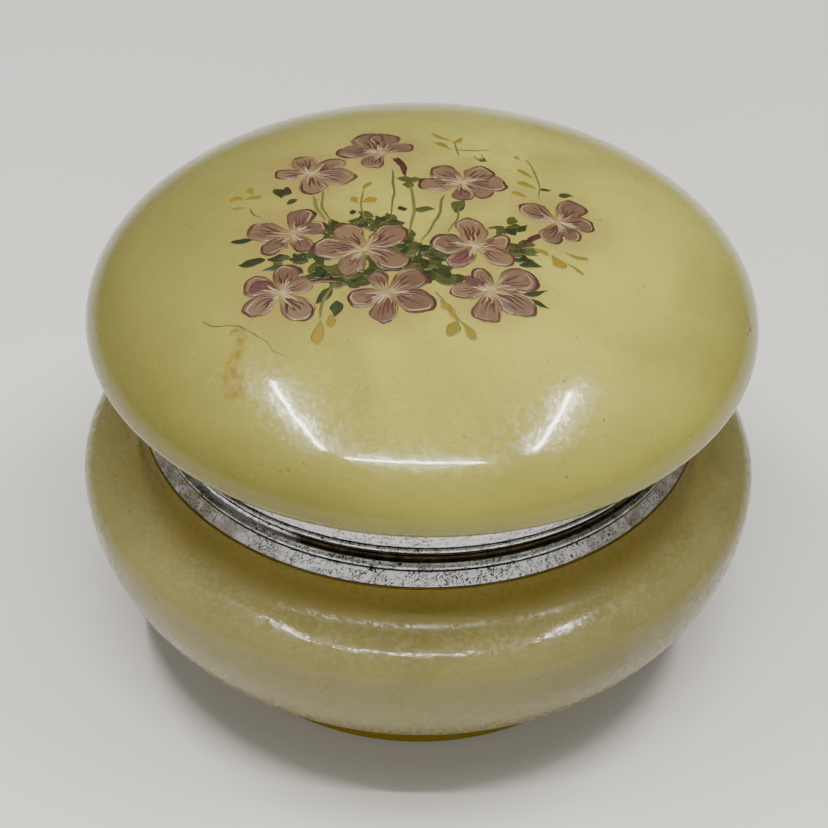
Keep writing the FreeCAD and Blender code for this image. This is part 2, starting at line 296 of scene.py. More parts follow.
# %% A recipe for alabaster
def alabaster(name, light, deep, vein, cloud_turn, polish):
    """Cloudy stone between two tints, with veins and specks of a third, its colour and its gloss."""
    stone = Finish(
        name,
        Subsurface_Weight=0.3,
        Subsurface_Radius=(1.0, 0.85, 0.35),
        Subsurface_Scale=2.5 * mm,
        Coat_Weight=polish,
        Coat_Roughness=0.06,
        Specular_IOR_Level=0.3,
    )
    turned = stone.place(scale=(1, 1, 1.6), turn=cloud_turn)
    clouds = stone.noise(34 * mm, turned, detail=5, distortion=0.6).between(0.35, 0.68)
    mottle = stone.noise(6 * mm, turned, detail=6, roughness=0.65)
    wander = stone.noise(28 * mm, turned, detail=7, roughness=0.62, distortion=1.2)
    veins = 1 - abs(wander - 0.5).between(0.0, 0.016)
    patches = stone.noise(50 * mm, turned, detail=2).between(0.5, 0.66)
    specks = 1 - stone.cells(3 * mm).between(0.05, 0.11)
    rare = stone.noise(9 * mm).between(0.50, 0.58)
    dust = stone.noise(0.6 * mm, detail=2).between(0.60, 0.72)

    colour = stone.mix(clouds * 0.7 + mottle * 0.4, light, deep)
    colour = stone.mix(veins * patches * 0.18, colour, vein)
    colour = stone.mix(specks * rare * 0.7, colour, vein)
    colour = stone.mix(dust * 0.30, colour, vein)
    frost = stone.noise(1 * mm, detail=3, roughness=0.6).between(0.50, 0.58) * (1 - polish) ** 2
    gloss = 0.04 + polish * 0.14 + mottle * 0.10 + frost * 0.35
    grain = stone.height(stone.noise(0.8 * mm, detail=2), 0.03 * mm * (1 - polish))
    turning = stone.height(stone.noise(12 * mm, turned, detail=3), 0.25 * mm, grain)
    pits = stone.height(1 - specks * rare, 0.08 * mm, turning)
    stone.feed(Normal=pits)
    return stone, colour, gloss


def axis(finish, letter):
    """How far along X, Y or Z each point is, in metres."""
    return finish.node("SeparateXYZ", {}, {0: finish.node("TexCoord", output="Object")}, letter)


print("alabaster recipe ready")

# %% The bowl: painted shade at the neck under the lid, and a darker amber at the foot
BOWL_TINTS = ((0.210, 0.190, 0.074), (0.152, 0.135, 0.048), (0.08, 0.045, 0.010))
NECK_SHADE_AND_FOOT_AMBER = (0.165, 0.118, 0.003)
NECK_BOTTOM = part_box("base_collar")[0].z - 7 * mm
NECK_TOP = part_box("base_collar")[0].z - 2 * mm
FOOT_TOP = 5.5 * mm

bowl_stone, bowl_colour, bowl_gloss = alabaster("bowl_alabaster", *BOWL_TINTS, (0.1, 0.4, 2.1), 0.0)
height = axis(bowl_stone, "Z") + (bowl_stone.noise(10 * mm) - 0.5) * 4 * mm
neck = height.between(NECK_BOTTOM, NECK_TOP)
foot = 1 - height.between(FOOT_TOP - 2 * mm, FOOT_TOP + 1 * mm)
# Painted shade: the neck, under the lid's overhang, is painted a darker amber. The foot is painted a
# darker amber too.
bowl_colour = bowl_stone.mix(neck * 0.75, bowl_colour, NECK_SHADE_AND_FOOT_AMBER)
bowl_colour = bowl_stone.mix(foot * 0.95, bowl_colour, NECK_SHADE_AND_FOOT_AMBER)
bowl_stone.feed(Base_Color=bowl_colour, Roughness=bowl_gloss + neck * 0.45)
bowl_stone.on(nodes["base_bowl"])
print("neck glows from", round(NECK_BOTTOM / mm, 1), "to", round(NECK_TOP / mm, 1), "mm")

# %% The lid: the same stone, lighter, with painted shade towards the rim and on the left
LID_TINTS = ((0.372, 0.352, 0.072), (0.245, 0.230, 0.048), (0.11, 0.07, 0.015))
LID_EDGE_SHADE = (0.155, 0.142, 0.034)
EDGE_START = 81.5 * mm
EDGE_END = 62 * mm
SHADY_SIDE = (-42 * mm, 8 * mm)

lid_stone, lid_colour, lid_gloss = alabaster("lid_alabaster", *LID_TINTS, (0.3, 0.1, 0.7), 0.4)
lid_stone.feed(Roughness=lid_gloss)
lid_x, lid_y, lid_z = (axis(lid_stone, letter) for letter in "XYZ")
drift = (lid_stone.noise(20 * mm, detail=3) - 0.5) * 6 * mm
# Painted shade: the lid darkens towards its rim, partly as a deeper tone of the stone, and on its
# left side.
edge_shade = 1 - (lid_z + drift).between(EDGE_END, EDGE_START)
shade = 1 - (lid_x + drift * 3).between(*SHADY_SIDE)
lid_shade = (edge_shade * 0.62 + shade * 0.6).lower(1.0)
lid_colour = lid_stone.mix(lid_shade, lid_colour, LID_EDGE_SHADE)
print("lid deepens from", EDGE_START / mm, "down to", EDGE_END / mm, "mm")

# %% An ochre seam in the lid, in front of the flowers on the left
SEAM = (0.16, 0.102, 0.012)
SEAM_X = -28.3 * mm
SEAM_Y = (-39 * mm, -25 * mm)

seam_start = lid_y.between(SEAM_Y[0], SEAM_Y[0] + 4 * mm)
seam_end = 1 - lid_y.between(SEAM_Y[1], SEAM_Y[1] + 2 * mm)
off_seam = abs(lid_x - SEAM_X + (lid_stone.noise(6 * mm, detail=5) - 0.5) * 7 * mm)
flecks = lid_stone.noise(1.6 * mm, detail=5, roughness=0.7).between(0.42, 0.62)
seam = (1 - off_seam.between(0.2 * mm, 1.8 * mm)) * seam_start * seam_end * (0.3 + flecks * 0.7)
lid_colour = lid_stone.mix(seam * 0.8, lid_colour, SEAM)
lid_stone.feed(Base_Color=lid_colour)
lid_stone.on(nodes["lid_dome"])
print("seam from", [round(v / mm) for v in SEAM_Y], "at x", round(SEAM_X / mm))

# %% [markdown]
# ## The collars
#
# Each collar is thin brass sheet with bright plating. The skirts have lain against wet
# stone and plaster for years, so the plating there has gone white and is eaten through in small
# dark pits. The hollow between the beads and the grooves beside them are painted black as shade
# and dark reflection, except at the hollow's left end.


# %% Plating with pits
def worn_plate(name, bright, dull, pit, wear, constants=None):
    """Plated metal: dull and pitted where wear is high, polished elsewhere."""
    plate = Finish(name, **(constants or {"Metallic": 1.0}))
    bloom = plate.noise(3.5 * mm, detail=6, roughness=0.7)
    worm = plate.noise(1.1 * mm, detail=2, roughness=0.5, distortion=1.6)
    broken = plate.noise(1.2 * mm, detail=3, roughness=0.6).between(0.40, 0.48)
    thick = plate.noise(7 * mm, detail=3).between(0.30, 0.55)
    trails = 1 - abs(worm - 0.5).between(0.013 * wear, 0.042 * wear)
    pits = trails * broken * (0.45 + thick * 0.55)
    colour = plate.mix(bloom.between(0.35, 0.65), bright, dull)
    colour = plate.mix(pits * wear, colour, pit)
    rough = 0.16 + bloom * 0.28 * wear + pits * 0.35
    scratches = plate.noise(0.4 * mm, plate.place(scale=(1, 1, 12)), detail=2)
    relief = plate.height(scratches, 0.006 * mm)
    relief = plate.height(1 - pits, 0.06 * mm, relief)
    plate.feed(Normal=relief)
    return plate, colour, rough


def plain_plate(name, bright, dull, pit, wear):
    plate, colour, rough = worn_plate(name, bright, dull, pit, wear)
    plate.feed(Base_Color=colour, Roughness=rough)
    return plate


print("plating recipe ready")

# %% The collars: white skirts, bright beads, painted shade in the hollow between
PARTING_Z = frame["joints"][0]["pos_m"][2]
HOLLOW_END = 1.25 * mm
GROOVE = (2.15 * mm, 2.55 * mm)
SOFT_RIM = 0.05 * mm
DARK_REFLECTION_START = (-23 * mm, -18 * mm)
OUTSIDE = (43.2 * mm, 43.7 * mm)
GRIMY_REFLECTING_SIDES = (16 * mm, 34 * mm)
SHADE_BLACK = (0.012, 0.010, 0.008)
BRASS_AND_STONE_REFLECTION = (0.20, 0.15, 0.06)
GRIME_AND_STONE_REFLECTION = (0.15, 0.12, 0.05)

collar_plate, collar_colour, collar_rough = worn_plate(
    "silver_plate", (0.94, 0.96, 1.0), (0.84, 0.85, 0.88), (0.045, 0.04, 0.035), 1.15, {}
)
collar_x, collar_y, collar_z = (axis(collar_plate, letter) for letter in "XYZ")
off_parting = abs(collar_z - PARTING_Z)
hollow = 1 - off_parting.between(HOLLOW_END - 0.2 * mm, HOLLOW_END)
skirt = off_parting.between(GROOVE[1] - SOFT_RIM, GROOVE[1] + SOFT_RIM)
groove_shade = off_parting.between(GROOVE[0] - SOFT_RIM, GROOVE[0] + SOFT_RIM) * (1 - skirt)
uneven = (collar_plate.noise(8 * mm, detail=4) - 0.5) * 16 * mm
dark_reflection = (collar_x + uneven).between(*DARK_REFLECTION_START)
patchy = collar_plate.noise(2 * mm, detail=4).between(0.28, 0.60)
radius = (collar_x * collar_x + collar_y * collar_y) ** 0.5
outside = radius.between(*OUTSIDE)
# Painted shade and painted dark reflection: black in the hollow, except at its left end, and nearly
# black in the grooves.
hollow_and_groove_shade = hollow * outside * (0.12 + dark_reflection * 0.88) + groove_shade * 0.85
# At the sides the skirts turn olive-brown: partly grime, partly a painted reflection of the stone
# beside them.
soiled_and_reflecting = (abs(collar_x) + uneven).between(*GRIMY_REFLECTING_SIDES) * (0.5 + patchy * 0.5) * (1 - hollow)
collar_colour = collar_plate.mix(hollow_and_groove_shade.lower(1.0), collar_colour, SHADE_BLACK)
# Olive in the hollow: partly old brass showing, partly a painted reflection of the stone.
collar_colour = collar_plate.mix(hollow * patchy * 0.18, collar_colour, BRASS_AND_STONE_REFLECTION)
collar_colour = collar_plate.mix(soiled_and_reflecting * 0.8, collar_colour, GRIME_AND_STONE_REFLECTION)
collar_plate.feed(
    Base_Color=collar_colour,
    Metallic=1 - skirt * 0.9,
    Roughness=collar_rough * (1 - hollow * 0.7) + skirt * 0.12,
)
collar_plate.on(nodes["base_collar"], nodes["lid_collar"])
print("collars meet at", round(PARTING_Z / mm, 2), "mm")

# %% The lip, the hinge and its pin
thin_plate = plain_plate(
    "thin_plate", (0.70, 0.66, 0.52), (0.55, 0.48, 0.30), (0.10, 0.07, 0.03), 0.5
)
hinge_plate = plain_plate(
    "hinge_plate", (0.66, 0.65, 0.63), (0.50, 0.47, 0.40), (0.06, 0.05, 0.04), 0.7
)
drawn_wire = plain_plate(
    "drawn_wire", (0.60, 0.59, 0.57), (0.45, 0.42, 0.38), (0.12, 0.06, 0.03), 0.5
)
thin_plate.on(nodes["base_locating_lip"])
hinge_plate.on(nodes["base_hinge_leaf"], nodes["lid_hinge_leaf"])
drawn_wire.on(nodes["hinge_pin"])
print("metal done")

# %% Plaster, stained brown
bedding = Finish("stained_plaster", Roughness=0.9)
stain = bedding.noise(2 * mm, detail=5, roughness=0.7)
bedding.feed(
    Base_Color=bedding.mix(stain, (0.22, 0.11, 0.04), (0.09, 0.05, 0.02)),
    Normal=bedding.height(stain, 0.1 * mm),
)
bedding.on(nodes["base_plaster_bed"], nodes["lid_plaster_bed"])
print("plaster done")

# %% [markdown]
# ## The painting
#
# The flowers are enamel, laid on with a pointed brush: a flat patch for each petal, then
# thin darker lines over it, then strokes of cream. Paint has a thickness that the light catches, so
# every touch of the brush is a piece of its own. It is modelled flat, once for each kind of
# touch. Copies are laid out above the lid like paper cut-outs, dropped on to the dome with
# Shrinkwrap, and given their thickness by Solidify.

# %% Tools for one object at a time
def only(piece):
    """Selects one object, and makes it the active one."""
    bpy.ops.object.select_all(action="DESELECT")
    piece.select_set(True)
    bpy.context.view_layer.objects.active = piece


def modify(piece, kind, **settings):
    """Adds a modifier with those settings and applies it."""
    only(piece)
    modifier = piece.modifiers.new(kind.lower(), kind)
    for name, value in settings.items():
        setattr(modifier, name, value)
    bpy.ops.object.modifier_apply(modifier=modifier.name)


def join(pieces, name):
    """Makes one object of several, with their places put in its mesh."""
    only(pieces[0])
    for piece in pieces:
        piece.select_set(True)
    bpy.ops.object.join()
    bpy.ops.object.transform_apply(location=True, rotation=True, scale=True)
    pieces[0].name = name
    return pieces[0]


# %% One touch of the brush
def touch(name, half_width, rows=14, columns=6):
    """A flat patch from (0, 0) to (0, 1), as wide as half_width says at each height."""
    bpy.ops.object.select_all(action="DESELECT")
    bpy.ops.mesh.primitive_grid_add(
        x_subdivisions=columns, y_subdivisions=rows, size=1, location=(0, 0.5, 0)
    )
    patch = bpy.context.object
    patch.name = name
    bpy.ops.object.transform_apply(location=True)
    heights = sorted({round(v.co.y, 5) for v in patch.data.vertices})
    for height in heights:
        bpy.ops.object.mode_set(mode="EDIT")
        bpy.ops.mesh.select_all(action="DESELECT")
        bpy.ops.object.mode_set(mode="OBJECT")
        for vertex in patch.data.vertices:
            vertex.select = abs(vertex.co.y - height) < 1e-4
        bpy.ops.object.mode_set(mode="EDIT")
        bpy.ops.transform.resize(
            value=(2 * half_width(height), 1, 1), center_override=(0, height, 0)
        )
        bpy.ops.object.mode_set(mode="OBJECT")
    return patch


def petal_half_width(t):
    """Narrow at the heart of the flower, widest past the middle, and round at the end."""
    return 0.05 + 0.33 * math.sin(math.pi / 2 * min(1, t / 0.7)) ** 1.3 * (1 - t**7) ** 0.5


def leaf_half_width(t):
    """Pointed at both ends."""
    return 0.01 + 0.24 * math.sin(math.pi * t**0.8) ** 1.1


def bud_half_width(t):
    """A drop: pointed where it hangs, full at the free end."""
    return 0.01 + 0.26 * math.sin(math.pi * t**1.4) ** 0.8


def line_half_width(t):
    """A pointed brush pressed and lifted."""
    return 0.08 + 0.42 * math.sin(math.pi * t**0.7) ** 0.6


petal_touch = touch("petal_touch", petal_half_width)
leaf_touch = touch("leaf_touch", leaf_half_width)
bud_touch = touch("bud_touch", bud_half_width)
line_touch = touch("line_touch", line_half_width, rows=16, columns=2)
print("touches:", [len(t.data.vertices) for t in (petal_touch, leaf_touch, bud_touch, line_touch)])


# %% A line that follows a path
def line(points, width):
    """A copy of the straight touch, bent along a smooth path through points."""
    bpy.ops.object.select_all(action="DESELECT")
    bpy.ops.curve.primitive_bezier_curve_add()
    path = bpy.context.object
    spline = path.data.splines[0]
    spline.bezier_points.add(len(points) - 2)
    for place, (x, y) in zip(spline.bezier_points, points):
        place.co = (x, y, 0)
        place.handle_left_type = place.handle_right_type = "AUTO"
        place.tilt = math.pi / 2
    path.data.resolution_u = 16
    bpy.context.view_layer.update()
    length = spline.calc_length()
    stroke = line_touch.copy()
    stroke.data = line_touch.data.copy()
    bpy.context.scene.collection.objects.link(stroke)
    stroke.scale = (width, length, 1)
    only(stroke)
    bpy.ops.object.transform_apply(scale=True)
    modify(stroke, "CURVE", object=path, deform_axis="POS_Y")
    bpy.data.objects.remove(path)
    return stroke


def copies(source, places):
    """Copies of a touch, each given as x, y, the way it points in degrees, length and width."""
    made = []
    for x, y, way, length, width in places:
        piece = source.copy()
        piece.data = source.data.copy()
        bpy.context.scene.collection.objects.link(piece)
        piece.matrix_world = Matrix.LocRotScale(
            Vector((x, y, 0)) * mm,
            Matrix.Rotation(math.radians(way - 90), 3, "Z").to_quaternion(),
            Vector((width * mm, length * mm, 1)),
        )
        made.append(piece)
    return made


# %% Laying paint on the dome
LIFT = 150 * mm
OTHER_SLICE = 90 * mm
PAINT_THICKNESS = 0.03 * mm
WOBBLE = 1.3 * mm
STEADY = 0.5 * mm

unsteady_hand = bpy.data.textures.new("unsteady_hand", "CLOUDS")
unsteady_hand.noise_scale = 2.8 * mm
unsteady_hand.noise_depth = 1


def number_squares(pieces):
    """Moves each piece's UV map along by whole squares, so that a finish can tell them apart."""
    for number, piece in enumerate(pieces):
        for corner in piece.data.uv_layers.active.data:
            corner.uv.x += number


def lay(pieces, name, height, finish, wobble=WOBBLE):
    """Joins flat pieces and drops them on the lid, with their top at a height above the stone."""
    number_squares(pieces)
    paint = join(pieces, name)
    # The clouds fill space, so a second slice through them, higher up, is unlike the first.
    for way, rise in (("X", 0), ("Y", OTHER_SLICE)):
        paint.data.transform(Matrix.Translation((0, 0, rise)))
        modify(
            paint, "DISPLACE", texture=unsteady_hand, direction=way, strength=wobble, mid_level=0.5
        )
    paint.data.transform(Matrix.Translation((0, 0, LIFT)))
    modify(
        paint,
        "SHRINKWRAP",
        target=nodes["lid_dome"],
        wrap_method="PROJECT",
        use_project_z=True,
        use_negative_direction=True,
        use_positive_direction=False,
        offset=height,
    )
    modify(paint, "SOLIDIFY", thickness=PAINT_THICKNESS, offset=-1)
    only(paint)
    bpy.ops.object.mode_set(mode="EDIT")
    bpy.ops.mesh.select_all(action="SELECT")
    bpy.ops.mesh.normals_make_consistent(inside=False)
    bpy.ops.object.mode_set(mode="OBJECT")
    bpy.ops.object.shade_smooth()
    finish.on(paint)
    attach(paint, "lid")
    return paint


# %% [markdown]
# ### Enamel
#
# One recipe serves every colour. The brush leaves streaks along the touch, which the UV map
# follows. Petals and buds also have a colour for where the paint thins and the stone shows.


# %% A recipe for enamel
GOLDEN_SHARE = 0.618


def enamel(name, main, other, thin=None, variety=0.5):
    """Streaked paint between two colours, and where it is thin and the touch starts, a third."""
    paint = Finish(name, Coat_Weight=0.35, Coat_Roughness=0.12)
    across = paint.node("SeparateXYZ", {}, {0: paint.node("UVMap")}, "X")
    along = paint.node("SeparateXYZ", {}, {0: paint.node("UVMap")}, "Y")
    number = across.math("FLOOR", across)  # one whole square of the map for each touch
    streak_place = paint.node("CombineXYZ", {}, {"X": across * 9, "Y": along * 1.4})
    streaks = paint.node("TexNoise", {}, {"Vector": streak_place, "Scale": 1.0, "Detail": 3.0})
    own = number.math("FRACT", number * GOLDEN_SHARE)  # well spread from touch to touch
    blotch = paint.noise(1.2 * mm, detail=3)
    share = (streaks - 0.5) * 1.3 + (own - 0.5) * variety + (blotch - 0.5) * 0.6 + 0.5
    colour = paint.mix(share.between(0.1, 0.9), main, other)
    if thin:
        bare = streaks.between(0.52, 0.72) * 0.4
        start = (1 - along.between(0.05, 0.45)) * 0.8
        colour = paint.mix(start.higher(bare), colour, thin)
    relief = paint.height(streaks, 0.03 * mm)
    paint.feed(Base_Color=colour, Roughness=0.3 + blotch * 0.2, Normal=relief)
    return paint


petal_pink = enamel("petal_pink", (0.130, 0.083, 0.042), (0.072, 0.037, 0.024), (0.19, 0.145, 0.045))
line_maroon = enamel("line_maroon", (0.034, 0.009, 0.007), (0.070, 0.020, 0.015))
line_cream = enamel("line_cream", (0.33, 0.245, 0.125), (0.18, 0.120, 0.06))
leaf_shadow = enamel("leaf_shadow", (0.010, 0.016, 0.002), (0.028, 0.036, 0.006))
leaf_green = enamel("leaf_green", (0.013, 0.019, 0.002), (0.048, 0.051, 0.009), variety=0.9)
stem_green = enamel("stem_green", (0.060, 0.064, 0.015), (0.12, 0.116, 0.034))
sprig_ochre = enamel("sprig_ochre", (0.185, 0.120, 0.005), (0.13, 0.108, 0.008), (0.12, 0.11, 0.016))
print("enamels ready")

# %% [markdown]
# ### Ten flowers
#
# Each flower is a heart and five or six petals. Nothing about hand-painted petals is regular,
# so each one is given as the way it points, in degrees from the right, and its length. Places
# are in millimetres from the middle of the lid, with the hinge at the top.

# %% Where the petals are
FLOWERS = [
    (-19.0, 13.5, [(173, 5.6), (107, 6.4), (37, 6.4), (-19, 7.6), (-82, 6.5)]),
    (-7.5, 19.5, [(171, 7.2), (118, 8.0), (86, 7.4), (32, 5.8), (-116, 5.2)]),
    (6.0, 10.0, [(188, 7.0), (134, 6.7), (51, 6.6), (9, 7.0), (-36, 5.6), (-90, 5.1)]),
    (-21.0, -4.0, [(164, 7.3), (78, 6.5), (17, 5.5), (-58, 5.4), (-134, 5.8)]),
    (-9.5, -9.0, [(122, 7.2), (43, 7.9), (-29, 7.5), (-119, 6.2), (171, 7.9)]),
    (8.0, -8.0, [(168, 7.0), (97, 7.3), (25, 5.8), (-23, 6.4), (-128, 6.0)]),
    (21.5, 1.0, [(148, 7.0), (66, 7.0), (8, 5.6), (-56, 5.0), (-112, 5.6)]),
    (-22.0, -18.0, [(83, 6.1), (154, 6.5), (-144, 6.5), (-54, 7.3), (22, 5.2)]),
    (-5.5, -19.0, [(-163, 6.2), (118, 4.8), (39, 7.1), (-23, 7.5), (-94, 6.5)]),
    (10.5, -17.5, [(188, 6.1), (117, 4.8), (34, 7.8), (-34, 7.7), (-97, 7.0)]),
]
PETAL_BREADTH = 0.92
LAYERS = 5
PETALS_TOP = 0.036 * mm
PETAL_STEP = 0.004 * mm

painted = []
petals = [
    [
        (x, y, way, length, length * PETAL_BREADTH)
        for x, y, ways in FLOWERS
        for number, (way, length) in enumerate(ways)
        if number % LAYERS == layer
    ]
    for layer in range(LAYERS)
]
for layer, places in enumerate(petals):
    height = PETALS_TOP + PETAL_STEP * layer
    name = f"painted_petals_{layer + 1}"
    painted.append(lay(copies(petal_touch, places), name, height, petal_pink))
print("petals:", sum(len(places) for places in petals))

# %% Dark lines on the petals
# Paths are drawn on a petal one long and one wide, that points along Y.
LINE_WIDTH = 0.056
LINES_TOP = 0.062 * mm

outline_left = [(-0.27, 0.45), (-0.34, 0.70), (-0.26, 0.92), (-0.04, 1.01), (0.12, 0.98)]
outline_round = [
    (-0.31, 0.60), (-0.29, 0.86), (-0.05, 1.01), (0.22, 0.93), (0.34, 0.72), (0.29, 0.5)
]
outline_tip = [(-0.22, 0.95), (-0.02, 1.01), (0.20, 0.94), (0.33, 0.76)]


def vein(lean, start, end):
    """A line that leaves the heart and curves away towards one side."""
    middle = (start + end) / 2
    return [(lean * 0.25, start), (lean * 0.7, middle), (lean, end)]


def flipped(points):
    return [(-x, y) for x, y in points]


def line_set(name, outlines, veins, width=LINE_WIDTH):
    """One object of outlines, then veins given as lean, start and end, to be copied on to petals."""
    paths = outlines + [vein(*values) for values in veins]
    return join([line(path, width) for path in paths], name)


LINEWORK = [
    ([outline_left], [(-0.18, 0.22, 0.62), (-0.05, 0.2, 0.76), (0.08, 0.2, 0.66), (0.22, 0.3, 0.6)]),
    ([outline_round], [(-0.22, 0.3, 0.7), (-0.10, 0.2, 0.6), (0.04, 0.24, 0.72), (0.18, 0.2, 0.56)]),
    ([flipped(outline_left), outline_tip], [(-0.14, 0.2, 0.7), (0.0, 0.2, 0.6), (0.15, 0.25, 0.7)]),
    ([outline_tip], [(-0.2, 0.2, 0.78), (-0.08, 0.3, 0.72), (0.05, 0.2, 0.8), (0.2, 0.25, 0.74)]),
]
line_sets = [line_set(f"line_set_{n}", *paths) for n, paths in enumerate(LINEWORK)]

random.seed(4)
every_petal = [(x, y, w, n) for x, y, ways in FLOWERS for w, n in ways]
outlined = []
for x, y, way, length in every_petal:
    source = random.choice(line_sets)
    width = length * PETAL_BREADTH
    outlined += copies(source, [(x, y, way + random.uniform(-4, 4), length * 1.01, width)])
painted.append(lay(outlined, "painted_petal_lines", LINES_TOP, line_maroon))
print("line sets:", len(line_sets), "on", len(every_petal), "petals")

# %% Cream along the edges, and between the dark lines
CREAM_WIDTH = LINE_WIDTH * 0.6
LIGHTS_TOP = 0.066 * mm
CREAMWORK = [
    ([[(-0.25, 0.5), (-0.29, 0.72), (-0.20, 0.90)]], [(0.13, 0.12, 0.5), (-0.1, 0.1, 0.45)]),
    ([[(0.28, 0.55), (0.29, 0.74), (0.16, 0.92), (-0.02, 0.95)]], [(-0.15, 0.12, 0.55)]),
    (
        [[(-0.27, 0.66), (-0.16, 0.90), (0.04, 0.94), (0.2, 0.86)]],
        [(0.1, 0.1, 0.55), (-0.03, 0.1, 0.4)],
    ),
]
cream_sets = [
    line_set(f"cream_set_{n}", *paths, width=CREAM_WIDTH) for n, paths in enumerate(CREAMWORK)
]
lit_edges = []
for x, y, way, length in every_petal:
    source = random.choice(cream_sets)
    width = length * PETAL_BREADTH
    lit_edges += copies(source, [(x, y, way + random.uniform(-5, 5), length, width)])
painted.append(lay(lit_edges, "painted_petal_lights", LIGHTS_TOP, line_cream))
print("cream sets:", len(cream_sets))

# %% Cream at the heart
STROKES_PER_PETAL = 2
HEARTS_TOP = 0.072 * mm
HEART_STEP = 0.003 * mm
DABS_TOP = 0.090 * mm
DAB_START = (-0.75, 0.1)
DAB_SIZE = (1.6, 2.4)

strokes = []
for x, y, way, length in every_petal:
    for _ in range(STROKES_PER_PETAL):
        turn = way + random.uniform(-28, 28)
        reach = length * random.uniform(0.22, 0.50)
        strokes.append((x, y, turn, reach, random.uniform(0.28, 0.5)))
dabs = [(x + DAB_START[0], y + DAB_START[1], 0, *DAB_SIZE) for x, y, ways in FLOWERS]
for layer in range(LAYERS):
    name = f"painted_hearts_{layer + 1}"
    height = HEARTS_TOP + HEART_STEP * layer
    painted.append(lay(copies(line_touch, strokes[layer::LAYERS]), name, height, line_cream))
painted.append(lay(copies(bud_touch, dabs), "painted_heart_dabs", DABS_TOP, line_cream))
print("cream strokes:", len(strokes), "dabs:", len(dabs))

# %% [markdown]
# Three petals took more red than the rest. The stone round the flowers took a little too, as a
# faint wash with no edge, so that one is part of the stone's finish.

# %% Redder petals
BLUSHES_TOP = 0.056 * mm
BLUSHES = [
    (-22.0, -18.0, 154, 5.6, 4.2), (8.0, -8.0, -128, 5.2, 3.8), (10.5, -17.5, 150, 5.0, 3.0),
]
blush_red = enamel("blush_red", (0.062, 0.020, 0.022), (0.10, 0.045, 0.034), (0.12, 0.075, 0.04))
painted.append(lay(copies(petal_touch, BLUSHES), "painted_blushes", BLUSHES_TOP, blush_red))
print("blushes:", len(BLUSHES))

# %% The wash
WASH = (0.205, 0.135, 0.045)
WASH_REACH = (4 * mm, 12 * mm)
ABOVE_HOLLOW = (73.5 * mm, 75 * mm)

on_plan = lid_stone.node("CombineXYZ", {}, {"X": lid_x, "Y": lid_y})
nearest = None
for x, y, ways in FLOWERS:
    centre = (x * mm, y * mm, 0)
    far = lid_stone.node("VectorMath", {"operation": "DISTANCE"}, {0: on_plan, 1: centre}, "Value")
    nearest = far if nearest is None else nearest.lower(far)
outer_side = lid_z.between(*ABOVE_HOLLOW)
wash = (1 - (nearest + drift * 0.5).between(*WASH_REACH)) * outer_side
lid_stone.feed(Base_Color=lid_stone.mix(wash * 0.55, lid_colour, WASH))
print("wash out to", round(WASH_REACH[1] / mm), "mm from each heart")

# %% [markdown]
# ### Leaves, stems and sprigs
#
# Leaves go under the flowers, so their paint is the lowest, just above the stone. The stems are
# drawn upwards from the middle of the bunch, and the ochre sprigs stand round its edge.

# %% Leaves
SHADOWS_TOP = 0.007 * mm
LEAVES_TOP = 0.010 * mm
LEAF_STEP = 0.003 * mm

# x, y, the way it points, length, width
LEAVES = [
    (-31.0, -4.2, 0, 4.2, 3.4), (-25.0, -10.0, 185, 4.2, 4.4), (-21.5, -10.0, 180, 3.2, 4.0),
    (-18.0, -11.0, 170, 3.5, 3.6), (-21.5, 7.8, 165, 3.4, 4.6), (-24.6, 9.6, -60, 3.2, 3.6),
    (13.0, -2.0, 0, 3.4, 4.6), (13.2, -1.0, 60, 2.6, 3.6), (13.0, -6.0, -30, 5.5, 4.2),
    (14.5, -6.0, 10, 3.4, 4.0), (15.0, -11.0, 0, 3.4, 3.2), (15.5, -18.0, 25, 4.0, 2.6),
    (16.2, -18.5, -30, 4.0, 2.4), (-14.0, -18.0, -130, 4.0, 4.0), (-13.0, -20.5, -100, 3.8, 4.0),
    (-2.2, 10.4, 165, 3.0, 3.2), (-3.0, 10.4, 10, 2.6, 3.2), (-3.0, 8.0, 85, 2.6, 4.0),
    (-2.0, 1.4, 12, 3.2, 3.6), (4.2, 2.4, 50, 3.0, 4.0), (4.8, 1.0, 70, 3.4, 3.6),
    (21.2, 9.0, 10, 3.4, 3.4), (8.4, 18.6, -30, 2.2, 2.4), (18.2, 10.0, 25, 2.4, 2.4),
    (-22.5, 4.6, 20, 2.2, 3.0), (-4.2, 1.8, 20, 1.4, 3.0), (-12.2, 1.2, 0, 1.2, 3.0),
]

# The middle of the bunch is dabbed in, thick and quick: x, y, how far it spreads, dabs. A clump
# is wider than it is deep.
CLUMP_WIDE, CLUMP_DEEP = 1.25, 0.75
CLUMPS = [
    (-7.7, -2.4, 2.4, 22), (-14.6, -3.6, 2.0, 16), (-2.9, -8.6, 2.6, 24), (0.4, -11.6, 3.2, 30),
    (2.2, -15.2, 2.8, 26), (-11.2, -15.6, 2.6, 28), (-16.0, -14.0, 1.8, 12), (-6.0, -12.6, 2.4, 18),
    (14.4, -7.4, 2.0, 14), (-20.6, -11.6, 2.2, 12), (-16.6, -9.0, 1.6, 8), (13.4, -3.4, 1.4, 6),
]
random.seed(11)
clumped = []
for x, y, spread, count in CLUMPS:
    for _ in range(count):
        away = random.uniform(0, 2 * math.pi)
        reach = spread * math.sqrt(random.random())
        along, back = CLUMP_WIDE * reach * math.cos(away), CLUMP_DEEP * reach * math.sin(away)
        place = (x + along, y + back)
        size = (random.uniform(1.6, 3.2), random.uniform(2.0, 3.8))
        clumped.append((*place, random.uniform(-40, 220), *size))
foliage = LEAVES + clumped

